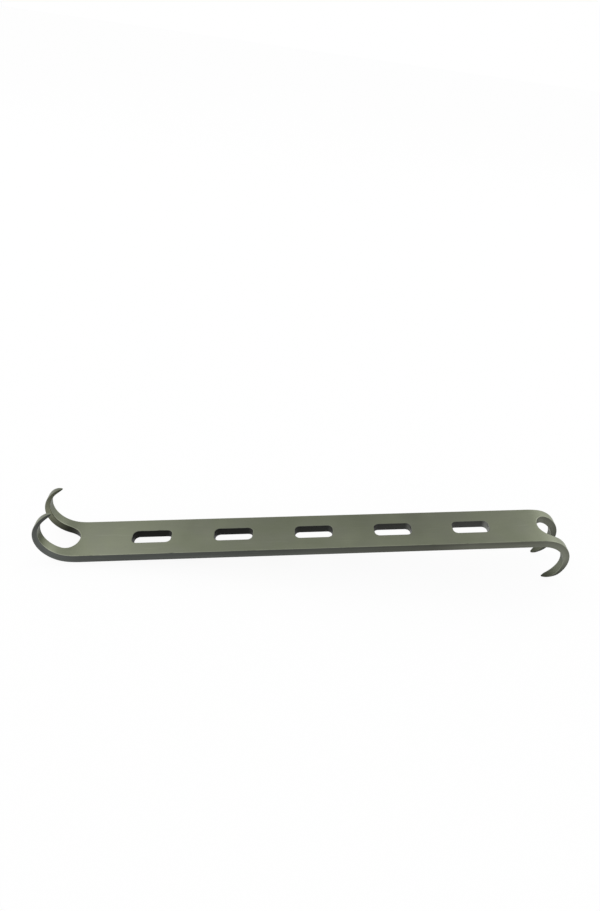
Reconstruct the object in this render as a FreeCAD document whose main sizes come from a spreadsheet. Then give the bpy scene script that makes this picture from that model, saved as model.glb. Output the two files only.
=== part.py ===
import FreeCAD, Part
import math
import os

import Sketcher

# Handheld surgical retractor: one flat steel bar with a two-pronged claw at each end
#
# The bar lies along X with its width along Y. Five slots lighten it. The left end
# curls up and back over the bar, and the right end is the same form turned half a
# turn about Y, so it curls down. The piece is drawn level about its own centre, and
# its placement then tips it as it lies on a table, on its left heel and right points.
# Lengths are in millimetres and angles in degrees.

SIZES = {
    "overall_length": 200.0,
    "bar_width": 18.0,
    "bar_thickness": 3.4,
    "slot_count": 5,
    "slot_pitch": 30.6,
    "slot_length": 14.3,
    "slot_width": 6.0,
    "slot_corner": 1.9,
    "lead_radius": 26.0,
    "lead_turn": 9.0,
    "claw_radius": 11.5,
    "claw_turn": 154.0,
    "prong_width": 3.5,
    "gap_depth": 12.2,
    "point_taper": 4.3,
    "point_inset": 2.1,
    "point_width": 0.75,
    "point_thickness": 0.85,
    "edge_chamfer": 0.3,
}

# Lengths that follow from several cells of the sheet
REACH = ("((sizes.lead_radius - sizes.claw_radius) * sin(sizes.lead_turn)"
         " + sizes.claw_radius)")
BEND_START = f"(sizes.overall_length / 2 - {REACH})"
POINT_DROP = ("(sizes.lead_radius - sizes.bar_thickness / 2"
              " - (sizes.lead_radius - sizes.claw_radius) * cos(sizes.lead_turn)"
              " - sizes.claw_radius * cos(sizes.lead_turn + sizes.claw_turn))")

# Cuts run this far past the metal, and a corner is sharp above this angle
CLEAR = 2.0
SMOOTH_LIMIT = 20.0

ORIGIN = FreeCAD.Vector(0, 0, 0)
AXIS_Y = FreeCAD.Vector(0, 1, 0)
SKETCH_NORMAL = FreeCAD.Vector(0, 0, 1)


def vector(x, y):
    return FreeCAD.Vector(x, y, 0)


def polar(degrees, radius=1.0):
    angle = math.radians(degrees)
    return vector(radius * math.cos(angle), radius * math.sin(angle))


def arc(centre, radius, first, last):
    """A round edge that runs anticlockwise between two angles in degrees."""
    circle = Part.Circle(centre, SKETCH_NORMAL, radius)
    return Part.ArcOfCircle(circle, math.radians(first), math.radians(last))


def arc_leaving(start, heading, end):
    """The arc that leaves start along heading, in degrees, turning right, to end."""
    inward = polar(heading - 90)
    chord = end - start
    radius = chord.Length ** 2 / (2 * chord.dot(inward))
    centre = start + inward * radius
    last = math.degrees(math.atan2(end.y - centre.y, end.x - centre.x))
    first = heading + 90
    while last > first:
        last -= 360
    return arc(centre, radius, last, first)


def claw_frame():
    """Where the right claw's outer edge starts, its two centres and its point.

    They are seen from the side, with x along the bar and y up.
    """
    s = SIZES
    turn = s["lead_turn"]
    reach = (s["lead_radius"] - s["claw_radius"]) * math.sin(math.radians(turn))
    start = s["overall_length"] / 2 - reach - s["claw_radius"]
    lead = vector(start, s["bar_thickness"] / 2 - s["lead_radius"])
    claw = lead + polar(90 - turn, s["lead_radius"] - s["claw_radius"])
    point = claw + polar(90 - turn - s["claw_turn"], s["claw_radius"])
    return start, lead, claw, point


def point_drop():
    """How far the right claw's point lies below the middle of the bar."""
    return -claw_frame()[3].y


def new_sketch(body, name, plane_role):
    plane = next(f for f in body.Origin.OriginFeatures if f.Role == plane_role)
    sketch = body.newObject("Sketcher::SketchObject", name)
    sketch.AttachmentSupport = [(plane, "")]
    sketch.MapMode = "FlatFace"
    return sketch


def bind(sketch, name, constraint, expression):
    """Add a constraint with a name, and tie its value to the sheet."""
    index = sketch.addConstraint(constraint)
    sketch.renameConstraint(index, name)
    sketch.setExpression(f"Constraints.{name}", expression)


def place(sketch, name, edge, vertex, axis, number, expression):
    """Hold a vertex at a signed distance from the origin along an axis."""
    ends = (-1, 1, edge, vertex) if number >= 0 else (edge, vertex, -1, 1)
    bind(sketch, name, Sketcher.Constraint(f"Distance{axis}", *ends, abs(number)),
         expression)


def join(sketch, first, first_end, second, second_end, kind="Coincident"):
    sketch.addConstraint(Sketcher.Constraint(kind, first, first_end, second, second_end))


def add_loop(sketch, corners):
    """Straight edges round a list of corners, joined end to end."""
    lines = []
    for here, there in zip(corners, corners[1:] + corners[:1]):
        lines.append(sketch.addGeometry(Part.LineSegment(vector(*here), vector(*there))))
    for here, there in zip(lines, lines[1:] + lines[:1]):
        join(sketch, here, 2, there, 1)
    return lines


def pad(body, name, sketch, expression):
    feature = body.newObject("PartDesign::Pad", name)
    feature.Profile = sketch
    feature.SideType = "Symmetric"
    feature.setExpression("Length", expression)
    return feature


def cut_through(body, name, sketch):
    feature = body.newObject("PartDesign::Pocket", name)
    feature.Profile = sketch
    feature.SideType = "Symmetric"
    feature.Type = "ThroughAll"
    return feature


def half_turn_copy(body, name, originals):
    """Repeat features at the other end, half a turn about the Y axis."""
    pattern = body.newObject("PartDesign::PolarPattern", name)
    axis = next(f for f in body.Origin.OriginFeatures if f.Role == "Y_Axis")
    pattern.Originals = originals
    pattern.Axis = (axis, [""])
    pattern.Angle = 360
    pattern.Occurrences = 2
    body.Tip = pattern
    return pattern


def draw_bar(body):
    """The straight bar between the two bends."""
    start = claw_frame()[0]
    half = SIZES["bar_width"] / 2
    sketch = new_sketch(body, "bar_outline", "XY_Plane")
    low, right, high, left = add_loop(
        sketch, [(-start, -half), (start, -half), (start, half), (-start, half)])
    sketch.addConstraint(Sketcher.Constraint("Horizontal", low))
    sketch.addConstraint(Sketcher.Constraint("Horizontal", high))
    sketch.addConstraint(Sketcher.Constraint("Vertical", right))
    sketch.addConstraint(Sketcher.Constraint("Vertical", left))
    sketch.addConstraint(Sketcher.Constraint("Symmetric", low, 1, high, 1, -1, 1))
    bind(sketch, "width", Sketcher.Constraint("DistanceY", right, 1, right, 2, 2 * half),
         "sizes.bar_width")
    bind(sketch, "length", Sketcher.Constraint("DistanceX", low, 1, low, 2, 2 * start),
         f"2 * {BEND_START}")
    return pad(body, "bar", sketch, "sizes.bar_thickness")


def draw_claw(body):
    """The right claw in the side view: an easy lead, then a crescent to the point."""
    s = SIZES
    start, lead_centre, claw_centre, point = claw_frame()
    turn, thick = s["lead_turn"], s["bar_thickness"]
    total = turn + s["claw_turn"]
    inner_point = point - polar(90 - total, s["point_thickness"])
    inner_start = lead_centre + polar(90 - turn, s["lead_radius"] - thick)
    sketch = new_sketch(body, "claw_profile", "XZ_Plane")
    root = sketch.addGeometry(Part.LineSegment(vector(start, thick / 2),
                                               vector(start, -thick / 2)))
    lead = sketch.addGeometry(arc(lead_centre, s["lead_radius"], 90 - turn, 90))
    back = sketch.addGeometry(arc(claw_centre, s["claw_radius"], 90 - total, 90 - turn))
    tip = sketch.addGeometry(Part.LineSegment(point, inner_point))
    belly = sketch.addGeometry(arc_leaving(inner_start, -turn, inner_point))
    inner = sketch.addGeometry(arc(lead_centre, s["lead_radius"] - thick, 90 - turn, 90))
    join(sketch, root, 1, lead, 2)
    join(sketch, root, 2, inner, 2)
    join(sketch, lead, 3, inner, 3)
    join(sketch, back, 2, lead, 1, "Tangent")
    join(sketch, belly, 2, inner, 1, "Tangent")
    join(sketch, tip, 1, back, 1)
    join(sketch, tip, 2, belly, 1)
    sketch.addConstraint(Sketcher.Constraint("PointOnObject", back, 3, tip))
    sketch.addConstraint(Sketcher.Constraint("Vertical", root))
    join(sketch, lead, 3, lead, 2, "Vertical")
    bind(sketch, "bend_start", Sketcher.Constraint("DistanceX", -1, 1, root, 1, start),
         BEND_START)
    bind(sketch, "top_face", Sketcher.Constraint("DistanceY", -1, 1, root, 1, thick / 2),
         "sizes.bar_thickness / 2")
    bind(sketch, "lead_radius", Sketcher.Constraint("Radius", lead, s["lead_radius"]),
         "sizes.lead_radius")
    bind(sketch, "inner_radius",
         Sketcher.Constraint("Radius", inner, s["lead_radius"] - thick),
         "sizes.lead_radius - sizes.bar_thickness")
    bind(sketch, "claw_radius", Sketcher.Constraint("Radius", back, s["claw_radius"]),
         "sizes.claw_radius")
    for name, edge, size in (("lead_turn", lead, "lead_turn"),
                             ("inner_turn", inner, "lead_turn"),
                             ("claw_turn", back, "claw_turn")):
        bind(sketch, name, Sketcher.Constraint("Angle", edge, math.radians(s[size])),
             f"sizes.{size} * 1 deg")
    bind(sketch, "point_thickness",
         Sketcher.Constraint("Distance", tip, 1, tip, 2, s["point_thickness"]),
         "sizes.point_thickness")
    return pad(body, "claw", sketch, "sizes.bar_width")


def draw_gap(body):
    """The gap between the prongs in plan, with a round root in the bar."""
    s = SIZES
    half = s["bar_width"] / 2 - s["prong_width"]
    root_centre = s["overall_length"] / 2 - s["gap_depth"] + half
    far = s["overall_length"] / 2 + CLEAR
    sketch = new_sketch(body, "gap_outline", "XY_Plane")
    root = sketch.addGeometry(arc(vector(root_centre, 0), half, 90, 270))
    low = sketch.addGeometry(Part.LineSegment(vector(root_centre, -half),
                                              vector(far, -half)))
    end = sketch.addGeometry(Part.LineSegment(vector(far, -half), vector(far, half)))
    high = sketch.addGeometry(Part.LineSegment(vector(far, half),
                                               vector(root_centre, half)))
    join(sketch, root, 2, low, 1, "Tangent")
    join(sketch, high, 2, root, 1, "Tangent")
    join(sketch, low, 2, end, 1)
    join(sketch, end, 2, high, 1)
    sketch.addConstraint(Sketcher.Constraint("Horizontal", low))
    sketch.addConstraint(Sketcher.Constraint("Horizontal", high))
    sketch.addConstraint(Sketcher.Constraint("Vertical", end))
    sketch.addConstraint(Sketcher.Constraint("PointOnObject", root, 3, -1))
    bind(sketch, "root_radius", Sketcher.Constraint("Radius", root, half),
         "sizes.bar_width / 2 - sizes.prong_width")
    bind(sketch, "root_place",
         Sketcher.Constraint("DistanceX", -1, 1, root, 3, root_centre),
         "sizes.overall_length / 2 - sizes.gap_depth + sizes.bar_width / 2"
         " - sizes.prong_width")
    bind(sketch, "far_end", Sketcher.Constraint("DistanceX", -1, 1, end, 1, far),
         f"sizes.overall_length / 2 + {CLEAR}")
    return cut_through(body, "prong_gap", sketch)


def draw_slots(body):
    """One rounded slot near the left end, repeated along the bar."""
    s = SIZES
    first = -s["slot_pitch"] * (s["slot_count"] - 1) / 2
    long_half, wide_half = s["slot_length"] / 2, s["slot_width"] / 2
    corner = s["slot_corner"]
    sketch = new_sketch(body, "slot_outline", "XY_Plane")
    sides = [
        ((first - long_half + corner, -wide_half), (first + long_half - corner, -wide_half)),
        ((first + long_half, -wide_half + corner), (first + long_half, wide_half - corner)),
        ((first + long_half - corner, wide_half), (first - long_half + corner, wide_half)),
        ((first - long_half, wide_half - corner), (first - long_half, -wide_half + corner)),
    ]
    lines = [sketch.addGeometry(Part.LineSegment(vector(*a), vector(*b))) for a, b in sides]
    rounds = []
    for index, (x_side, y_side) in enumerate(((1, -1), (1, 1), (-1, 1), (-1, -1))):
        centre = vector(first + x_side * (long_half - corner), y_side * (wide_half - corner))
        begin = 270 + 90 * index
        rounds.append(sketch.addGeometry(arc(centre, corner, begin, begin + 90)))
    for index, rounding in enumerate(rounds):
        join(sketch, lines[index], 2, rounding, 1, "Tangent")
        join(sketch, rounding, 2, lines[(index + 1) % 4], 1, "Tangent")
    for line, kind in zip(lines, ("Horizontal", "Vertical", "Horizontal", "Vertical")):
        sketch.addConstraint(Sketcher.Constraint(kind, line))
    for rounding in rounds[1:]:
        sketch.addConstraint(Sketcher.Constraint("Equal", rounds[0], rounding))
    bind(sketch, "corner", Sketcher.Constraint("Radius", rounds[0], corner),
         "sizes.slot_corner")
    bind(sketch, "width",
         Sketcher.Constraint("DistanceY", lines[0], 1, lines[2], 1, 2 * wide_half),
         "sizes.slot_width")
    bind(sketch, "length",
         Sketcher.Constraint("DistanceX", lines[3], 1, lines[1], 1, 2 * long_half),
         "sizes.slot_length")
    place(sketch, "low_side", lines[0], 1, "Y", -wide_half, "sizes.slot_width / 2")
    place(sketch, "left_side", lines[3], 1, "X", first - long_half,
          "sizes.slot_pitch * (sizes.slot_count - 1) / 2 + sizes.slot_length / 2")
    slot = cut_through(body, "first_slot", sketch)
    pattern = body.newObject("PartDesign::LinearPattern", "slots")
    axis = next(f for f in body.Origin.OriginFeatures if f.Role == "X_Axis")
    pattern.Originals = [slot]
    pattern.Direction = (axis, [""])
    pattern.Mode = "Spacing"
    pattern.setExpression("Offset", "sizes.slot_pitch")
    pattern.setExpression("Occurrences", "sizes.slot_count")
    body.Tip = pattern
    return pattern


def add_lean(sketch, name, flank, lean, flank_size, end_size):
    """An arc that leaves a prong's upright flank and leans by lean to the point.

    Returns the edge and its vertices at the flank and at the point.
    """
    fall, drop = SIZES["point_taper"], point_drop()
    radius = (lean ** 2 + fall ** 2) / (2 * abs(lean))
    sweep = math.degrees(math.asin(fall / radius))
    level = fall - drop
    if lean < 0:
        curve = arc(vector(flank - radius, level), radius, -sweep, 0)
    else:
        curve = arc(vector(flank + radius, level), radius, 180, 180 + sweep)
    flank_end, point_end = (2, 1) if lean < 0 else (1, 2)
    edge = sketch.addGeometry(curve)
    join(sketch, edge, 3, edge, flank_end, "Horizontal")
    place(sketch, f"{name}_flank", edge, flank_end, "X", flank, flank_size)
    place(sketch, f"{name}_level", edge, flank_end, "Y", level,
          f"{POINT_DROP} - sizes.point_taper")
    place(sketch, f"{name}_end", edge, point_end, "X", flank + lean, end_size)
    place(sketch, f"{name}_depth", edge, point_end, "Y", -drop, POINT_DROP)
    return edge, flank_end, point_end


def draw_points(body):
    """Waste on both flanks of each prong, seen end on, so that it ends in a point."""
    s = SIZES
    half = s["bar_width"] / 2
    gap_half = half - s["prong_width"]
    inner_lean = s["prong_width"] - s["point_inset"] - s["point_width"]
    floor = -point_drop() - CLEAR
    level = s["point_taper"] - point_drop()
    sketch = new_sketch(body, "point_waste", "YZ_Plane")
    inner = {}
    for side, name in ((-1, "near"), (1, "far")):
        edge, flank_end, point_end = add_lean(
            sketch, f"{name}_outer", side * half, -side * s["point_inset"],
            "sizes.bar_width / 2", "sizes.bar_width / 2 - sizes.point_inset")
        tip_x, out_x = side * (half - s["point_inset"]), side * (half + CLEAR)
        corners = [(tip_x, -point_drop()), (tip_x, floor), (out_x, floor),
                   (out_x, level), (side * half, level)]
        lines = [sketch.addGeometry(Part.LineSegment(vector(*a), vector(*b)))
                 for a, b in zip(corners, corners[1:])]
        join(sketch, edge, point_end, lines[0], 1)
        for here, there in zip(lines, lines[1:]):
            join(sketch, here, 2, there, 1)
        join(sketch, lines[3], 2, edge, flank_end)
        for line, kind in zip(lines, ("Vertical", "Horizontal", "Vertical", "Horizontal")):
            sketch.addConstraint(Sketcher.Constraint(kind, line))
        place(sketch, f"{name}_side", lines[1], 2, "X", out_x,
              f"sizes.bar_width / 2 + {CLEAR}")
        place(sketch, f"{name}_floor", lines[1], 2, "Y", floor, f"{POINT_DROP} + {CLEAR}")
        inner[name] = add_lean(
            sketch, f"{name}_inner", side * gap_half, side * inner_lean,
            "sizes.bar_width / 2 - sizes.prong_width",
            "sizes.bar_width / 2 - sizes.point_inset - sizes.point_width")
    tip_x = gap_half + inner_lean
    down = sketch.addGeometry(Part.LineSegment(vector(-tip_x, -point_drop()),
                                               vector(-tip_x, floor)))
    across = sketch.addGeometry(Part.LineSegment(vector(-tip_x, floor),
                                                 vector(tip_x, floor)))
    up = sketch.addGeometry(Part.LineSegment(vector(tip_x, floor),
                                             vector(tip_x, -point_drop())))
    lid = sketch.addGeometry(Part.LineSegment(vector(gap_half, level),
                                              vector(-gap_half, level)))
    near, near_flank, near_point = inner["near"]
    far, far_flank, far_point = inner["far"]
    join(sketch, near, near_point, down, 1)
    join(sketch, down, 2, across, 1)
    join(sketch, across, 2, up, 1)
    join(sketch, up, 2, far, far_point)
    join(sketch, far, far_flank, lid, 1)
    join(sketch, lid, 2, near, near_flank)
    for line, kind in ((down, "Vertical"), (across, "Horizontal"), (up, "Vertical")):
        sketch.addConstraint(Sketcher.Constraint(kind, line))
    place(sketch, "gap_floor", across, 1, "Y", floor, f"{POINT_DROP} + {CLEAR}")
    pocket = body.newObject("PartDesign::Pocket", "point_cut")
    pocket.Profile = sketch
    pocket.Type = "Length"
    pocket.Reversed = True
    pocket.setExpression("Length", f"sizes.overall_length / 2 + {CLEAR}")
    return pocket


def sharp_edges(shape):
    """Names of the edges where two faces meet at a real corner, not smoothly."""
    names = []
    for number, edge in enumerate(shape.Edges, start=1):
        middle = edge.valueAt((edge.FirstParameter + edge.LastParameter) / 2)
        normals = [face.normalAt(*face.Surface.parameter(middle))
                   for face in shape.ancestorsOfType(edge, Part.Face)]
        if math.degrees(normals[0].getAngle(normals[-1])) > SMOOTH_LIMIT:
            names.append(f"Edge{number}")
    return names


def ease_edges(body):
    """Break every corner of the finished form with a small chamfer."""
    finished = body.Tip
    chamfer = body.newObject("PartDesign::Chamfer", "eased_edges")
    chamfer.Base = (finished, sharp_edges(finished.Shape))
    chamfer.setExpression("Size", "sizes.edge_chamfer")
    body.Tip = chamfer
    return chamfer


def resting_tilt():
    """Angle in degrees that the bar rises to the right as it lies on a table.

    The round heel of the left lead and the right claw's point then share a level.
    """
    start, _, _, point = claw_frame()
    across = point.x + start
    down = point.y - SIZES["lead_radius"] + SIZES["bar_thickness"] / 2
    lean = math.atan2(down, across)
    return math.degrees(math.asin(-SIZES["lead_radius"] / math.hypot(across, down)) - lean)


def make_sheet(doc):
    """The driving sizes, each in a cell with its own alias."""
    sheet = doc.addObject("Spreadsheet::Sheet", "sizes")
    for row, (name, value) in enumerate(SIZES.items(), start=1):
        sheet.set(f"A{row}", name)
        sheet.set(f"B{row}", str(value))
        sheet.setAlias(f"B{row}", name)
    doc.recompute()
    return sheet


def make_retractor(doc):
    """The whole piece with sharp corners, level about its own centre."""
    body = doc.addObject("PartDesign::Body", "retractor")
    body.Label = "retractor"
    draw_bar(body)
    claw = draw_claw(body)
    gap = draw_gap(body)
    points = draw_points(body)
    half_turn_copy(body, "both_ends", [claw, gap, points])
    draw_slots(body)
    doc.recompute()
    return body


def lay_down(body):
    """Tip the piece as it rests, with the table at height 0 below its middle."""
    turn = FreeCAD.Rotation(AXIS_Y, -resting_tilt())
    body.Placement = FreeCAD.Placement(ORIGIN, turn)
    box = body.Shape.optimalBoundingBox()
    body.Placement.Base = FreeCAD.Vector(-box.Center.x, -box.Center.y, -box.ZMin)


def check(doc, parts):
    """Stop if a feature failed or a piece came out empty or broken."""
    for item in doc.Objects:
        if "Invalid" in item.State or "Error" in item.State:
            raise RuntimeError(f"{item.Name} failed: {item.State}")
    for item in parts:
        if item.Shape.isNull() or not item.Shape.isValid():
            raise RuntimeError(f"{item.Label} has no valid shape")


def main():
    doc = FreeCAD.newDocument("surgical_retractor")
    make_sheet(doc)
    retractor = make_retractor(doc)
    ease_edges(retractor)
    doc.recompute()
    check(doc, [retractor])
    lay_down(retractor)
    os.makedirs("parts", exist_ok=True)
    retractor.Shape.exportStep(f"parts/{retractor.Label}.step")


main()
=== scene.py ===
import math

import bmesh
import bpy
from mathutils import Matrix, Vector


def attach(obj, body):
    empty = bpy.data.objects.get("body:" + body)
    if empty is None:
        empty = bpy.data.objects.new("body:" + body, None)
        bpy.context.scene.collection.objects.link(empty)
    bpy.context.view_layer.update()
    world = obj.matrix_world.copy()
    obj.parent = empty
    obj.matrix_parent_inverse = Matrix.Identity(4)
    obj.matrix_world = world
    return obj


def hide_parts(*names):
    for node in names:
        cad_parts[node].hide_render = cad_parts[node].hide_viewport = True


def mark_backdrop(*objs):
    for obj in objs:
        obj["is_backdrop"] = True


# A handheld surgical retractor in satin steel, lying on its left heel and right points.
# Lengths are in metres and angles in radians. The bar is drawn level about its own
# middle, and the last step of its tree tips it as it lies.

MM = 0.001

BAR = {
    "bar length": 200.0 * MM,
    "bar width": 18.0 * MM,
    "bar thickness": 3.4 * MM,
    "edge rounding": 0.3 * MM,
    "slot pitch": 30.6 * MM,
    "slot length": 14.3 * MM,
    "slot width": 6.0 * MM,
    "slot corner": 1.9 * MM,
    "slot rim": 1.2 * MM,
    "lead radius": 26.0 * MM,
    "lead turn": math.radians(9.0),
    "claw radius": 11.5 * MM,
    "claw turn": math.radians(154.0),
    "prong width": 3.5 * MM,
    "gap depth": 12.2 * MM,
    "point taper": 4.3 * MM,
    "point inset": 2.1 * MM,
    "point width": 0.75 * MM,
    "point thickness": 0.85 * MM,
    "resting tilt": math.radians(6.1298),
    "resting lift": 11.0469 * MM,
}
SLOTS = 5

# Stations along one claw: across the half bar, along its flank to the gap, to the point
ACROSS, FLANK, PRONG = 6, 8, 44
MIDDLE = ACROSS + FLANK + PRONG + 1

# The section is drawn on a square from -1 to 1 whose rounded corners take this share
CORNER = 0.25
ROUND_STEPS = 3
SECTION_CUTS = 3
OUTER_SIDE = 1.0 - CORNER - 0.01

# The last stations draw the point in by one share and its closing face by a further one,
# and the point then moves by a share of both towards the claw's inner face
POINT_STATIONS = 3
POINT_SHRINK, CLOSING_SHRINK, POINT_SHIFT = 0.45, 0.25, 0.2

SLOT_CORNER_STEPS = 8
SAME_PLACE = 2e-6

# Colours of the steel's finishes, and of the painted shade and painted highlight on it
STEEL_AND_PAINTED_LIGHT = {
    "ground": (0.136, 0.148, 0.104, 1.0),
    "ground, paler": (0.166, 0.179, 0.128, 1.0),
    "ground, patched": (0.148, 0.152, 0.126, 1.0),
    # Painted shade: the flanks' and the gaps' walls, darker than the broad faces
    "shaded flank, left end": (0.072, 0.077, 0.071, 1.0),
    "shaded flank, right end": (0.078, 0.081, 0.065, 1.0),
    "shaded gap wall, left": (0.082, 0.085, 0.060, 1.0),
    # Painted shade in the slots' walls
    "painted slot shade": (0.021, 0.0215, 0.020),
    "grinding line": (0.62, 0.62, 0.62, 1.0),
    # Painted highlight along the rounded edges
    "glinting edge": (0.38, 0.40, 0.31, 1.0),
    "scratch": (0.34, 0.35, 0.30, 1.0),
    "speck": (0.07, 0.07, 0.055, 1.0),
}

# How much painted light and shade the colours get along the unbent bar: places in millimetres
# from its middle, each with the factor there. Over and under are the two broad faces, with
# painted highlights on the claws' crests and painted shade towards their points; side is the
# flanks, between is the walls of the gaps, within is the walls of the slots, and edge glint is
# the painted highlight on the edges.
PAINTED_LIGHT_ALONG = {
    "over": [(-121, 0.45), (-112, 0.62), (-104, 1.25), (-96, 1.05), (-84, 1.0), (-50, 0.92),
             (10, 0.87), (50, 0.8), (75, 0.92), (88, 1.1), (100, 1.55), (121, 1.1)],
    "under": [(-121, 0.75), (-115, 1.2), (-105, 1.2), (-90, 0.9), (86, 0.85), (99, 0.5),
              (106, 0.45), (111, 0.9), (114, 0.87), (118, 0.5), (121, 0.3)],
    "side": [(-121, 0.6), (-110, 1.25), (-98, 1.5), (-86, 1.05), (-30, 1.0), (0, 1.1),
             (45, 0.95), (60, 1.45), (80, 1.4), (105, 2.25), (113, 1.0), (121, 0.4)],
    "between": [(-121, 0.6), (-108, 2.3), (-100, 0.95), (-95, 0.25), (-88, 0.25),
                (88, 1.9), (98, 1.9), (104, 1.3), (113, 0.85), (121, 0.4)],
    "within": [(-61, 0.55), (-30, 0.7), (0, 1.15), (30, 1.7), (61, 2.6)],
    "edge glint": [(-118, 0.5), (-100, 2.0), (-84, 1.2), (-40, 0.6), (80, 0.5), (98, 1.5),
               (118, 0.6)],
}
RAMP_SPAN = 250.0
BRIGHTEST = 3.0

# Stretches of the run over which the painted shade and light change: at the left end, over the
# left third, over the middle and over the right half
LEFT_END = (-90.0 * MM, -60.0 * MM)
LEFT_THIRD = (-90.0 * MM, -30.0 * MM)
MIDDLE_PART = (-60.0 * MM, 70.0 * MM)
RIGHT_HALF = (0.0, 70.0 * MM)

GRAIN_DEPTH = 0.04 * MM

# The studio
FLOOR_REACH = 3.0
FLOOR_COLOUR = (0.96, 0.96, 0.96, 1.0)
WHITE = (1.0, 1.0, 1.0, 1.0)
FLOOR_GLOW = 0.92
PLAIN_LEVEL = 0.9
LAMP_PLACES = {"left_lamp": (-0.59, 0.49, 0.64), "right_lamp": (0.67, 0.47, 0.57)}
LAMP_WIDTH, LAMP_POWER = 0.6, 1.0


class Link:
    """A node's output socket, so that sums are written as Python expressions."""

    def __init__(self, tree, socket):
        self.tree = tree
        self.socket = socket

    def maths(self, operation, *values):
        vector = any(isinstance(v, Link) and v.socket.type == "VECTOR"
                     for v in (self, *values))
        kind = "ShaderNodeVectorMath" if vector else "ShaderNodeMath"
        return self.tree.add(kind, {"operation": operation}, dict(enumerate((self, *values))))

    def __add__(self, other):
        return self.maths("ADD", other)

    def __radd__(self, other):
        return self.maths("ADD", other)

    def __sub__(self, other):
        return self.maths("SUBTRACT", other)

    def __rsub__(self, other):
        return self.tree.number(other).maths("SUBTRACT", self)

    def __mul__(self, other):
        return self.maths("MULTIPLY", other)

    def __rmul__(self, other):
        return self.maths("MULTIPLY", other)

    def __truediv__(self, other):
        return self.maths("DIVIDE", other)

    def __pow__(self, other):
        return self.maths("POWER", other)

    def __neg__(self):
        return self.maths("MULTIPLY", -1.0)

    def __gt__(self, other):
        return self.maths("GREATER_THAN", other)

    def __lt__(self, other):
        return self.maths("LESS_THAN", other)

    def __abs__(self):
        return self.maths("ABSOLUTE")

    def at_most(self, other):
        return self.maths("MINIMUM", other)

    def at_least(self, other):
        return self.maths("MAXIMUM", other)

    def between(self, low, high):
        return self.at_least(low).at_most(high)

    def toward(self, other, share):
        """This value at share 0, the other at share 1."""
        return self + (other - self) * share

    def sin(self):
        return self.maths("SINE")

    def cos(self):
        return self.maths("COSINE")

    def root(self):
        return self.at_least(0.0).maths("SQRT")

    def angle_to(self, across):
        """The angle whose rise is this value over a run of across."""
        return self.maths("ARCTAN2", across)

    def sign(self):
        return self.maths("SIGN")


class Tree:
    """A node tree that is filled in by adding nodes one after another."""

    def __init__(self, tree):
        self.tree = tree

    def add(self, kind, settings=None, inputs=None, output=0):
        """Add a node, with its settings first and then its sockets by name or place."""
        node = self.tree.nodes.new(kind)
        for name, value in (settings or {}).items():
            if name == "stops":
                self.set_stops(node.color_ramp, value)
            else:
                setattr(node, name, value)
        for key, value in (inputs or {}).items():
            self.fill(self.pick(node.inputs, key), value)
        return Link(self, self.pick(node.outputs, output)) if node.outputs else node

    def pick(self, sockets, key):
        shown = [s for s in sockets if s.enabled]
        if isinstance(key, int):
            return shown[key]
        return next(s for s in shown if s.name == key)

    def fill(self, socket, value):
        if isinstance(value, Link):
            self.tree.links.new(value.socket, socket)
        elif isinstance(value, list):
            for link in value:
                self.tree.links.new(link.socket, socket)
        else:
            socket.default_value = value

    def set_stops(self, ramp, stops):
        while len(ramp.elements) < len(stops):
            ramp.elements.new(1.0)
        for element, (place, colour) in zip(ramp.elements, stops):
            element.position = place
            element.color = colour

    def number(self, value):
        return self.add("ShaderNodeMath", {"operation": "ADD"}, {0: float(value), 1: 0.0})

    def vector(self, x=0.0, y=0.0, z=0.0):
        return self.add("ShaderNodeCombineXYZ", inputs={"X": x, "Y": y, "Z": z})

    def axes(self, vector):
        node = self.add("ShaderNodeSeparateXYZ", inputs={"Vector": vector}).socket.node
        return [Link(self, socket) for socket in node.outputs]


def keep(tree, geometry, value, kind="FLOAT", domain="POINT"):
    """Hold a value on the geometry as it is now. Returns the geometry and the value."""
    node = tree.tree.nodes.new("GeometryNodeCaptureAttribute")
    node.domain = domain
    node.capture_items.new(kind, "held")
    tree.fill(node.inputs["Geometry"], geometry)
    tree.fill(node.inputs["held"], value)
    return Link(tree, node.outputs["Geometry"]), Link(tree, node.outputs["held"])


def flat_part(side):
    """Place across the flat of the section, from -1 to 1, for a place on the square."""
    return (side / (1.0 - CORNER)).between(-1.0, 1.0)


def round_part(side):
    """How far into the rounded corner a place on the square is, with its sign."""
    return (abs(side) - (1.0 - CORNER)).at_least(0.0) / CORNER * side.sign()


def section_curve(tree):
    """The rounded square. Returns the curve and its two held sides, u and v."""
    square = tree.add("GeometryNodeCurvePrimitiveQuadrilateral", {"mode": "RECTANGLE"},
                      {"Width": 2.0, "Height": 2.0})
    rounded = tree.add("GeometryNodeFilletCurve", {"mode": "POLY"},
                       {"Curve": square, "Count": ROUND_STEPS, "Radius": CORNER})
    divided = tree.add("GeometryNodeSubdivideCurve",
                       inputs={"Curve": rounded, "Cuts": SECTION_CUTS})
    curve, held = keep(tree, divided, tree.add("GeometryNodeInputPosition"), "VECTOR")
    u, v, _ = tree.axes(held)
    return curve, u, v


def sweep(tree, path, section, caps=False):
    return tree.add("GeometryNodeCurveToMesh",
                    inputs={"Curve": path, "Profile Curve": section, "Fill Caps": caps})


def move_to(tree, geometry, x, y, z):
    return tree.add("GeometryNodeSetPosition",
                    inputs={"Geometry": geometry, "Position": tree.vector(x, y, z)})


def delete_faces(tree, geometry, chosen):
    return tree.add("GeometryNodeDeleteGeometry", {"domain": "FACE"},
                    {"Geometry": geometry, "Selection": chosen})


def store(tree, geometry, name, value, kind="FLOAT"):
    return tree.add("GeometryNodeStoreNamedAttribute", {"data_type": kind, "domain": "POINT"},
                    {"Geometry": geometry, "Name": name, "Value": value})


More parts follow.
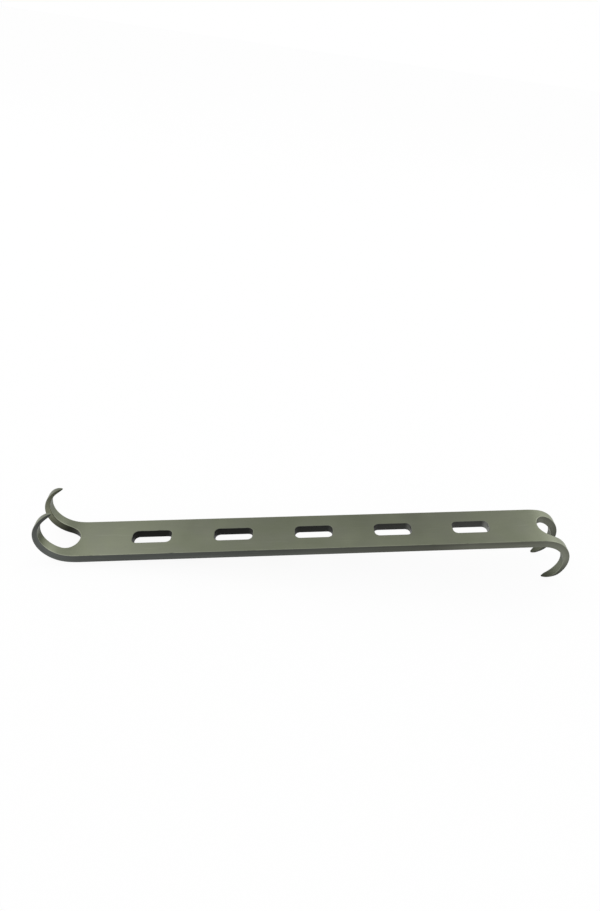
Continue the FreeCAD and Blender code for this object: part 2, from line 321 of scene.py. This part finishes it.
def claw_shape(size):
    """Lengths that follow from the claw's sizes, in the side view of the right end."""
    half = size["bar width"] / 2.0
    top = size["bar thickness"] / 2.0
    lead, claw = size["lead radius"], size["claw radius"]
    turn, full = size["lead turn"], size["lead turn"] + size["claw turn"]
    inner = lead - size["bar thickness"]
    start = size["bar length"] / 2.0 - (lead - claw) * turn.sin() - claw
    lead_z = top - lead
    claw_x = start + (lead - claw) * turn.sin()
    claw_z = lead_z + (lead - claw) * turn.cos()
    point_x = claw_x + claw * full.sin()
    point_z = claw_z + claw * full.cos()
    inside_x = point_x - size["point thickness"] * full.sin()
    inside_z = point_z - size["point thickness"] * full.cos()
    from_x = start + inner * turn.sin()
    from_z = lead_z + inner * turn.cos()
    chord_x, chord_z = inside_x - from_x, inside_z - from_z
    inward = -chord_x * turn.sin() - chord_z * turn.cos()
    belly = (chord_x * chord_x + chord_z * chord_z) / (inward * 2.0)
    belly_x = from_x - belly * turn.sin()
    belly_z = from_z - belly * turn.cos()
    gap_half = half - size["prong width"]
    root_x = size["bar length"] / 2.0 - size["gap depth"] + gap_half
    return {
        "half": half, "top": top, "lead": lead, "claw": claw, "full": full,
        "inner": inner, "start": start, "lead z": lead_z, "claw x": claw_x,
        "claw z": claw_z, "point z": point_z, "belly": belly, "belly x": belly_x,
        "belly z": belly_z, "gap half": gap_half, "root x": root_x,
        "lead end": start + lead * turn.sin(), "inner end": from_x,
        "belly full": (inside_x - belly_x).angle_to(inside_z - belly_z),
        "claw from": (root_x - claw_x).angle_to((claw * claw - (root_x - claw_x) ** 2.0).root()),
        "belly from": (root_x - belly_x).angle_to(
            (belly * belly - (root_x - belly_x) ** 2.0).root()),
    }


def height_on(x, start, end, radius, lead_z, next_x, next_z, next_radius):
    """Height of a face at x: on the lead's arc up to its end, and then on the next arc."""
    on_lead = lead_z + (radius * radius - (x - start) ** 2.0).root()
    beyond = next_z + (next_radius * next_radius - (x - next_x) ** 2.0).root()
    return on_lead.toward(beyond, x > end)


def lean(depth, taper, inset):
    """How far a flank that leans in by the inset over the taper's length has come."""
    radius = (inset * inset + taper * taper) / (inset * 2.0)
    return radius - (radius * radius - depth * depth).root()


def claw_path(tree):
    """A path with a point for each station of the fork. Returns it and their numbers."""
    line = tree.add("GeometryNodeCurvePrimitiveLine", {"mode": "POINTS"},
                    {"Start": (0.0, 0.0, 0.0), "End": (1.0, 0.0, 0.0)})
    path = tree.add("GeometryNodeResampleCurve",
                    inputs={"Curve": line, "Count": 2 * MIDDLE + 1})
    return keep(tree, path, tree.add("GeometryNodeInputIndex"))


def fork_plan(size, shape, step, u):
    """Plan of half the fork: from the gap's wall outwards to the bar's end or its flank."""
    easing = size["edge rounding"]
    across = (step / ACROSS).at_most(1.0)
    along = ((step - ACROSS) / FLANK).between(0.0, 1.0)
    out_x = shape["start"].toward(shape["root x"], along)
    out_y = shape["half"] * across
    turn = out_y.angle_to(shape["root x"] - out_x)
    away_x, away_y = -turn.cos(), turn.sin()
    near_x = shape["root x"] + (shape["gap half"] + easing) * away_x
    near_y = (shape["gap half"] + easing) * away_y
    out_easing = easing * (1.0 - (step < ACROSS - 0.5))
    share = (flat_part(u) + 1.0) / 2.0
    inward = round_part(u).at_most(0.0) * easing
    outward = round_part(u).at_least(0.0) * out_easing
    return (near_x.toward(out_x, share) + inward * away_x,
            near_y.toward(out_y - out_easing, share) + inward * away_y + outward)


def claw_faces(shape, x, prong, short):
    """The outer and the inner face: over the plan at the fork, along the arcs on a prong."""
    outer_z = height_on(x, shape["start"], shape["lead end"], shape["lead"],
                        shape["lead z"], shape["claw x"], shape["claw z"], shape["claw"])
    inner_z = height_on(x, shape["start"], shape["inner end"], shape["inner"],
                        shape["lead z"], shape["belly x"], shape["belly z"], shape["belly"])
    outer = shape["claw from"].toward(shape["full"] - short / shape["claw"], prong)
    inner = shape["belly from"].toward(shape["belly full"] - short / shape["belly"], prong)
    bent = prong > 0.0
    return ((x.toward(shape["claw x"] + shape["claw"] * outer.sin(), bent),
             outer_z.toward(shape["claw z"] + shape["claw"] * outer.cos(), bent)),
            (x.toward(shape["belly x"] + shape["belly"] * inner.sin(), bent),
             inner_z.toward(shape["belly z"] + shape["belly"] * inner.cos(), bent)))


def leaned_flanks(size, shape, y, z, shrink):
    """Place across the prong, whose flanks lean in over its last few millimetres."""
    taper = size["point taper"]
    depth = (shape["point z"] + taper - z).between(0.0, taper)
    out_lean = lean(depth, taper, size["point inset"])
    in_lean = lean(depth, taper,
                   size["prong width"] - size["point inset"] - size["point width"])
    wide = ((y - shape["gap half"]) / size["prong width"]).between(0.0, 1.0)
    middle = (shape["half"] + shape["gap half"] + in_lean - out_lean) / 2.0
    leaned = y + in_lean * (1.0 - wide) - out_lean * wide
    return middle.toward(leaned, shrink)


def right_claw(tree, size, shape):
    """The right end: the web round the root of the gap, and a prong on each side."""
    easing = size["edge rounding"]
    path, station = claw_path(tree)
    section, u, v = section_curve(tree)
    offset = station - float(MIDDLE)
    side = (offset > -0.5) * 2.0 - 1.0
    step = abs(offset)
    prong = ((step - (ACROSS + FLANK)) / PRONG).between(0.0, 1.0)
    closing = step > MIDDLE - 0.5
    joint = (step < ACROSS - 0.5) * (u > OUTER_SIDE)
    x, y = fork_plan(size, shape, step, u)
    (outer_x, outer_z), (inner_x, inner_z) = claw_faces(
        shape, x, prong, (1.0 - closing) * easing)
    run, rise = outer_x - inner_x, outer_z - inner_z
    deep = (run * run + rise * rise).root() / 2.0
    soft = easing * (1.0 - joint)
    tip = ((step - (MIDDLE - 1 - POINT_STATIONS)) / POINT_STATIONS).between(0.0, 1.0)
    shrink = 1.0 - tip * tip * POINT_SHRINK - closing * CLOSING_SHRINK
    lift = ((flat_part(v) * (deep - soft) + round_part(v) * soft) / deep * shrink / 2.0
            - (1.0 - shrink) * POINT_SHIFT)
    place_x = (outer_x + inner_x) / 2.0 + run * lift
    place_z = (outer_z + inner_z) / 2.0 + rise * lift
    place_y = leaned_flanks(size, shape, y, place_z, shrink) * side
    mesh = sweep(tree, path, section, caps=True)
    mesh = move_to(tree, mesh, place_x, place_y, place_z)
    mesh = store(tree, mesh, "wall", abs(round_part(u)) * (1.0 - joint))
    mesh = store(tree, mesh, "gap", abs(round_part(u).at_most(0.0)))
    mesh = store(tree, mesh, "belly", (1.0 - v.between(-1.0, 1.0)) / 2.0)
    reach, _, _ = tree.axes(tree.add("GeometryNodeInputPosition"))
    return delete_faces(tree, mesh, reach < shape["start"] + SAME_PLACE)


def bar_sides(tree, size, shape):
    """The two long sides of the bar, with its rounded edges and no faces between them."""
    easing, half, top = size["edge rounding"], shape["half"], shape["top"]
    line = tree.add("GeometryNodeCurvePrimitiveLine", {"mode": "POINTS"},
                    {"Start": (-1.0, 0.0, 0.0), "End": (1.0, 0.0, 0.0)})
    line_x, _, _ = tree.axes(tree.add("GeometryNodeInputPosition"))
    path, end = keep(tree, line, line_x)
    section, u, v = section_curve(tree)
    y = flat_part(u) * (half - easing) + round_part(u) * easing
    z = flat_part(v) * (top - easing) + round_part(v) * easing
    mesh = move_to(tree, sweep(tree, path, section), end * shape["start"], y, z)
    mesh = store(tree, mesh, "wall", abs(round_part(u)))
    _, _, height = tree.axes(tree.add("GeometryNodeInputPosition"))
    return delete_faces(tree, mesh, abs(height) > top - SAME_PLACE)


def slot_rims(tree, size, shape):
    """The wall and a narrow rim of each slot, repeated along the bar."""
    easing, top, corner = size["edge rounding"], shape["top"], size["slot corner"]
    core_x = size["slot length"] / 2.0 - corner
    core_y = size["slot width"] / 2.0 - corner
    outline = tree.add("GeometryNodeCurvePrimitiveQuadrilateral", {"mode": "RECTANGLE"},
                       {"Width": size["slot length"], "Height": size["slot width"]})
    outline = tree.add("GeometryNodeFilletCurve", {"mode": "POLY"},
                       {"Curve": outline, "Count": SLOT_CORNER_STEPS, "Radius": corner})
    path, spot = keep(tree, outline, tree.add("GeometryNodeInputPosition"), "VECTOR")
    section, u, v = section_curve(tree)
    spot_x, spot_y, _ = tree.axes(spot)
    away_x = (spot_x - spot_x.between(-core_x, core_x)) / corner
    away_y = (spot_y - spot_y.between(-core_y, core_y)) / corner
    outside = u > OUTER_SIDE
    share = (flat_part(u) + 1.0) / 2.0
    out = easing.toward(size["slot rim"], share) + round_part(u).at_most(0.0) * easing
    soft = easing * (1.0 - outside)
    z = flat_part(v) * (top - soft) + round_part(v) * soft
    mesh = move_to(tree, sweep(tree, path, section),
                   spot_x + away_x * out, spot_y + away_y * out, z)
    mesh = store(tree, mesh, "wall", abs(round_part(u)) * (1.0 - outside))
    mesh = store(tree, mesh, "slot", abs(round_part(u)) * (1.0 - outside))
    mesh = store(tree, mesh, "slot_end", away_x.at_least(0.0))
    mesh, side = keep(tree, mesh, u, domain="FACE")
    mesh = delete_faces(tree, mesh, side > OUTER_SIDE)
    row = tree.add("GeometryNodeMeshLine", {"mode": "OFFSET"},
                   {"Count": SLOTS,
                    "Start Location": tree.vector(size["slot pitch"] * (1 - SLOTS) / 2.0),
                    "Offset": tree.vector(size["slot pitch"])})
    rims = tree.add("GeometryNodeInstanceOnPoints", inputs={"Points": row, "Instance": mesh})
    return tree.add("GeometryNodeRealizeInstances", inputs={"Geometry": rims})


def merge(tree, pieces):
    joined = tree.add("GeometryNodeJoinGeometry", inputs={"Geometry": pieces})
    return tree.add("GeometryNodeMergeByDistance",
                    inputs={"Geometry": joined, "Distance": SAME_PLACE})


def shift(tree, geometry, move, turn=(0.0, 0.0, 0.0)):
    return tree.add("GeometryNodeTransform",
                    inputs={"Geometry": geometry, "Translation": move, "Rotation": turn})


def broad_faces(tree, rest, top):
    """The bar's flat top and underside, filled in from the open edges that remain."""
    _, _, height = tree.axes(tree.add("GeometryNodeInputPosition"))
    count = tree.add("GeometryNodeInputMeshEdgeNeighbors")
    edges = tree.add("GeometryNodeMeshToCurve",
                     inputs={"Mesh": rest, "Selection": (count < 1.5) * (height > 0.0)})
    face = tree.add("GeometryNodeFillCurve", {"mode": "NGONS"}, {"Curve": edges})
    return [shift(tree, face, tree.vector(z=top)), shift(tree, face, tree.vector(z=-top))]


def along_the_bend(tree, size, shape):
    """Place along the bar as if it were unbent, across it and through it."""
    x, y, z = tree.axes(tree.add("GeometryNodeInputPosition"))
    side = (x > 0.0) * 2.0 - 1.0
    along, up = x * side, z * side
    out, rise = along - shape["claw x"], up - shape["claw z"]
    on_claw = along > shape["lead end"]
    round_run = shape["lead end"] + (out.angle_to(rise) - size["lead turn"]) * shape["claw"]
    round_up = (out * out + rise * rise).root() - shape["claw"] + shape["top"]
    return tree.vector(along.toward(round_run, on_claw) * side, y,
                       up.toward(round_up, on_claw) * side)


def seen_from_above(tree, shape):
    """1 on the faces that join the bar's top, 0 on those that join its underside."""
    x, _, z = tree.axes(tree.add("GeometryNodeInputPosition"))
    belly = tree.add("GeometryNodeInputNamedAttribute", {"data_type": "FLOAT"},
                     {"Name": "belly"})
    on_claw = belly.toward(1.0 - belly, x > 0.0)
    return (z > 0.0).toward(on_claw, abs(x) > shape["start"] + SAME_PLACE)


def retractor_tree(material):
    group = bpy.data.node_groups.new("bent_slotted_bar", "GeometryNodeTree")
    for name, value in BAR.items():
        socket = group.interface.new_socket(name, in_out="INPUT",
                                            socket_type="NodeSocketFloat")
        socket.default_value = value
    group.interface.new_socket("Mesh", in_out="OUTPUT", socket_type="NodeSocketGeometry")
    tree = Tree(group)
    given = group.nodes.new("NodeGroupInput")
    size = {name: Link(tree, given.outputs[name]) for name in BAR}
    shape = claw_shape(size)
    right = right_claw(tree, size, shape)
    left = shift(tree, right, (0.0, 0.0, 0.0), (0.0, math.pi, 0.0))
    rest = merge(tree, [right, left, bar_sides(tree, size, shape),
                        slot_rims(tree, size, shape)])
    whole = merge(tree, [rest, *broad_faces(tree, rest, shape["top"])])
    whole = store(tree, whole, "grain", along_the_bend(tree, size, shape), "FLOAT_VECTOR")
    whole = store(tree, whole, "upper", seen_from_above(tree, shape))
    laid = shift(tree, whole, tree.vector(z=size["resting lift"]),
                 tree.vector(y=-size["resting tilt"]))
    smooth = tree.add("GeometryNodeSetShadeSmooth", inputs={"Geometry": laid})
    real = tree.add("GeometryNodeRealizeInstances", inputs={"Geometry": smooth})
    dressed = tree.add("GeometryNodeSetMaterial", inputs={"Geometry": real,
                                                          "Material": material})
    end = group.nodes.new("NodeGroupOutput")
    tree.fill(end.inputs["Mesh"], dressed)
    return group


def made_mesh(name, group, values):
    """Run a tree with its inputs set, and return an object with the plain mesh."""
    carrier = bpy.data.objects.new(name, bpy.data.meshes.new(name))
    bpy.context.scene.collection.objects.link(carrier)
    modifier = carrier.modifiers.new("make", "NODES")
    modifier.node_group = group
    for item in group.interface.items_tree:
        if item.in_out == "INPUT" and item.name in values:
            modifier[item.identifier] = values[item.name]
    graph = bpy.context.evaluated_depsgraph_get()
    mesh = bpy.data.meshes.new_from_object(carrier.evaluated_get(graph))
    carrier.modifiers.remove(modifier)
    carrier.data = mesh
    form = bmesh.new()
    form.from_mesh(mesh)
    bmesh.ops.recalc_face_normals(form, faces=form.faces)
    form.to_mesh(mesh)
    form.free()
    return carrier


def new_material(name):
    material = bpy.data.materials.new(name)
    material.use_nodes = True
    material.node_tree.nodes.clear()
    return material, Tree(material.node_tree)


def held(tree, name, output="Fac"):
    return tree.add("ShaderNodeAttribute", {"attribute_name": name}, output=output)


def noise(tree, place, scale, detail=2.0, roughness=0.5):
    return tree.add("ShaderNodeTexNoise", inputs={
        "Vector": place, "Scale": scale, "Detail": detail, "Roughness": roughness})


def rising(value, low, high):
    """0 up to low and 1 from high on, with a smooth rise between."""
    step = ((value - low) / (high - low)).between(0.0, 1.0)
    return step * step * (3.0 - 2.0 * step)


def blend(tree, share, first, second, mode="MIX"):
    return tree.add("ShaderNodeMix", {"data_type": "RGBA", "blend_type": mode},
                    {"Factor": share, "A": first, "B": second})


def toned(tree, colour, tone):
    return tree.add("ShaderNodeVectorMath", {"operation": "SCALE"},
                    {"Vector": colour, "Scale": tone})


def tone_along(tree, run, tones):
    """A factor of painted light and shade that changes along the bar, from a ramp of greys over
    its whole span.
    """
    stops = []
    for place, tone in tones:
        grey = tone / BRIGHTEST
        stops.append((place / RAMP_SPAN + 0.5, (grey, grey, grey, 1.0)))
    return tree.add("ShaderNodeValToRGB", {"stops": stops},
                    {"Fac": run / (RAMP_SPAN * MM) + 0.5}) * BRIGHTEST


def ground_face(tree, place, clouds, run, across, tone):
    """Colour of the broad faces: clouded and patched, with painted shade that makes them darker
    from front to back.
    """
    patches = rising(noise(tree, place, 90.0, 2.0), 0.35, 0.7)
    colour = blend(tree, clouds, STEEL_AND_PAINTED_LIGHT["ground"], STEEL_AND_PAINTED_LIGHT["ground, paler"])
    colour = blend(tree, patches * 0.35, colour, STEEL_AND_PAINTED_LIGHT["ground, patched"])
    # Painted shade: darker towards the back, more so at the left end
    painted_back_shade = 8.0 + (1.0 - rising(run, *LEFT_END)) * 7.0
    return toned(tree, colour, tone * (1.0 - across * painted_back_shade))


def shaded_flank(tree, grain, run, depth, gap, tone):
    """Colour of the flanks and the gap's walls: streaked, with painted shade that makes them
    dark and darker near their top.
    """
    rightward = rising(run, *MIDDLE_PART)
    streaks = noise(tree, grain * tree.vector(22.0, 300.0, 1300.0), 1.0, 3.0, 0.6)
    # Painted shade on the flanks, whose change from the left end's colour to the right end's is
    # painted light
    colour = blend(tree, rightward, STEEL_AND_PAINTED_LIGHT["shaded flank, left end"], STEEL_AND_PAINTED_LIGHT["shaded flank, right end"])
    colour = blend(tree, gap * (1.0 - rightward), colour, STEEL_AND_PAINTED_LIGHT["shaded gap wall, left"])
    near_top = (depth / (2.0 * MM)).between(-1.0, 1.0)
    # Painted shade near the flanks' top and painted light near their bottom, over the left third
    painted_shade_to_top = 1.0 - near_top * rising(run, *LEFT_THIRD) * 0.22
    return toned(tree, colour, tone * (0.75 + streaks * 0.5) * painted_shade_to_top)


def shaded_slot_wall(tree, run, slot_end, tone):
    """Colour of the slots' walls: painted shade, with painted light on their right ends."""
    # Painted light on the slots' right ends, stronger over the right half
    painted_end_light = slot_end * (0.6 + rising(run, *RIGHT_HALF) * 2.2)
    return toned(tree, STEEL_AND_PAINTED_LIGHT["painted slot shade"], tone * (1.0 + painted_end_light))


def ground_lines(tree, grain):
    """Fine and coarse lines that run along the bar."""
    coarse = noise(tree, grain * tree.vector(45.0, 900.0, 900.0), 1.0, 2.0)
    fine = noise(tree, grain * tree.vector(160.0, 5200.0, 5200.0), 1.0, 2.0, 0.6)
    return coarse * 0.45 + fine * 0.55


def satin_steel():
    """Ground flat bar: soft lengthwise grain, clouded tone, painted shade on the walls and
    slots, painted highlights on the edges.
    """
    material, tree = new_material("satin_steel")
    place = tree.add("ShaderNodeTexCoord", output="Object")
    grain = held(tree, "grain", "Vector")
    run, across, depth = tree.axes(grain)
    wall, slot, slot_end, gap, upper = (
        held(tree, name) for name in ("wall", "slot", "slot_end", "gap", "upper"))
    # Painted light and shade along the bar for each kind of face
    tone = {name: tone_along(tree, run, tones) for name, tones in PAINTED_LIGHT_ALONG.items()}

    clouds = rising(noise(tree, place, 34.0, 3.0, 0.55), 0.34, 0.66)
    lines = ground_lines(tree, grain)
    scratch = rising(noise(tree, grain * tree.vector(70.0, 2100.0, 2100.0), 1.0, 1.0),
                     0.7, 0.76)
    specks = rising(noise(tree, place, 2600.0, 1.0), 0.66, 0.74)
    # Where the painted shade of the flanks, gaps and slots goes
    cut = rising(wall, 0.3, 0.85).at_least(rising(slot, 0.02, 0.35))
    edge = rising(wall, 0.02, 0.25) * (1.0 - rising(wall, 0.55, 0.95)) * (1.0 - slot)
    # Painted highlight on the rounded edges, in patches, as strong as the edge glint tones give
    glint_patches = rising(noise(tree, place, 300.0, 3.0), 0.25, 0.55) * tone["edge glint"]
    painted_edge_glint = (edge * glint_patches).at_most(1.0)

    face = ground_face(tree, place, clouds, run, across,
                       tone["under"].toward(tone["over"], upper))
    flank = shaded_flank(tree, grain, run, depth, gap, tone["side"].toward(tone["between"], gap))
    inside = shaded_slot_wall(tree, run, slot_end, tone["within"])
    colour = blend(tree, cut, face, blend(tree, slot, flank, inside))
    colour = blend(tree, lines, colour, STEEL_AND_PAINTED_LIGHT["grinding line"], "OVERLAY")
    colour = blend(tree, painted_edge_glint * 0.6, colour, STEEL_AND_PAINTED_LIGHT["glinting edge"])
    colour = blend(tree, scratch * 0.08, colour, STEEL_AND_PAINTED_LIGHT["scratch"])
    colour = blend(tree, specks * 0.14, colour, STEEL_AND_PAINTED_LIGHT["speck"])
    roughness = (0.40 + clouds * 0.08 + (lines - 0.5) * 0.12 - painted_edge_glint * 0.12
                 + cut * 0.05 - scratch * 0.08)
    height = lines * 0.55 + scratch * -0.35 + specks * -0.3
    bump = tree.add("ShaderNodeBump", inputs={
        "Strength": 0.18, "Distance": GRAIN_DEPTH, "Height": height})
    shader = tree.add("ShaderNodeBsdfPrincipled", inputs={
        "Base Color": colour, "Metallic": 1.0, "Roughness": roughness.between(0.2, 0.7),
        "Normal": bump})
    tree.add("ShaderNodeOutputMaterial", inputs={"Surface": shader})
    return material


def unlit_rays(tree):
    """1 for the rays that show a white background: camera, gloss and glass."""
    ray = tree.add("ShaderNodeLightPath").socket.node
    return (Link(tree, ray.outputs["Is Camera Ray"]) + Link(tree, ray.outputs["Is Glossy Ray"])
            + Link(tree, ray.outputs["Is Transmission Ray"])).at_most(1.0)


def pale_floor():
    """White to the camera and in gloss and glass, with the object's shadow still on it."""
    material, tree = new_material("pale_floor")
    shader = tree.add("ShaderNodeBsdfPrincipled", inputs={
        "Base Color": FLOOR_COLOUR, "Roughness": 0.8})
    glow = tree.add("ShaderNodeEmission", inputs={"Color": WHITE, "Strength": 1.0})
    mixed = tree.add("ShaderNodeMixShader", inputs={
        0: unlit_rays(tree) * FLOOR_GLOW, 1: shader, 2: glow})
    tree.add("ShaderNodeOutputMaterial", inputs={"Surface": mixed})
    return material


def make_floor():
    mesh = bpy.data.meshes.new("floor")
    form = bmesh.new()
    bmesh.ops.create_grid(form, x_segments=1, y_segments=1, size=FLOOR_REACH)
    form.to_mesh(mesh)
    form.free()
    mesh.materials.append(pale_floor())
    floor = bpy.data.objects.new("floor", mesh)
    bpy.context.scene.collection.objects.link(floor)
    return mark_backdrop(floor)


def make_lamp(name, place):
    """A large soft lamp that points at the floor under the object's middle."""
    lamp = bpy.data.lights.new(name, "AREA")
    lamp.shape = "SQUARE"
    lamp.size = LAMP_WIDTH
    lamp.energy = LAMP_POWER
    holder = bpy.data.objects.new(name, lamp)
    holder.location = place
    holder.rotation_euler = (-Vector(place)).to_track_quat("-Z", "Y").to_euler()
    bpy.context.scene.collection.objects.link(holder)


def make_light():
    world = bpy.data.worlds.new("studio")
    bpy.context.scene.world = world
    world.use_nodes = True
    world.node_tree.nodes.clear()
    tree = Tree(world.node_tree)
    strength = PLAIN_LEVEL + unlit_rays(tree) * (1.0 - PLAIN_LEVEL)
    glow = tree.add("ShaderNodeBackground", inputs={"Color": WHITE, "Strength": strength})
    tree.add("ShaderNodeOutputWorld", inputs={"Surface": glow})
    for name, place in LAMP_PLACES.items():
        make_lamp(name, place)


def make_camera():
    lens = bpy.data.cameras.new("camera")
    lens.sensor_width = 36.0
    lens.lens = 24.277
    lens.shift_x = -0.04114
    lens.shift_y = -0.01854
    lens.clip_start = 0.01
    camera = bpy.data.objects.new("camera", lens)
    camera.location = (-22.45 * MM, -171.05 * MM, 178.04 * MM)
    camera.rotation_euler = [math.radians(a) for a in (54.719, -7.164, -3.556)]
    bpy.context.scene.collection.objects.link(camera)
    bpy.context.scene.camera = camera


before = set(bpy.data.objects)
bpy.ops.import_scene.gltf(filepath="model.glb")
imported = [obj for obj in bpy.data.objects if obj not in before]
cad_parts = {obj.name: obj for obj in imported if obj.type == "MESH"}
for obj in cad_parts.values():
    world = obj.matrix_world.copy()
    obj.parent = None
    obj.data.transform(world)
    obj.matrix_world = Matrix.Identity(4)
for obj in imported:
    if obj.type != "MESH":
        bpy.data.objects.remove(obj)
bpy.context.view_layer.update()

make_camera()
make_light()
make_floor()

retractor = made_mesh("retractor_dressed", retractor_tree(satin_steel()), BAR)
even = retractor.modifiers.new("even_faces", "WEIGHTED_NORMAL")
even.keep_sharp = True
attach(retractor, "root")
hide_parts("retractor")

bpy.context.scene.view_settings.view_transform = "Standard"
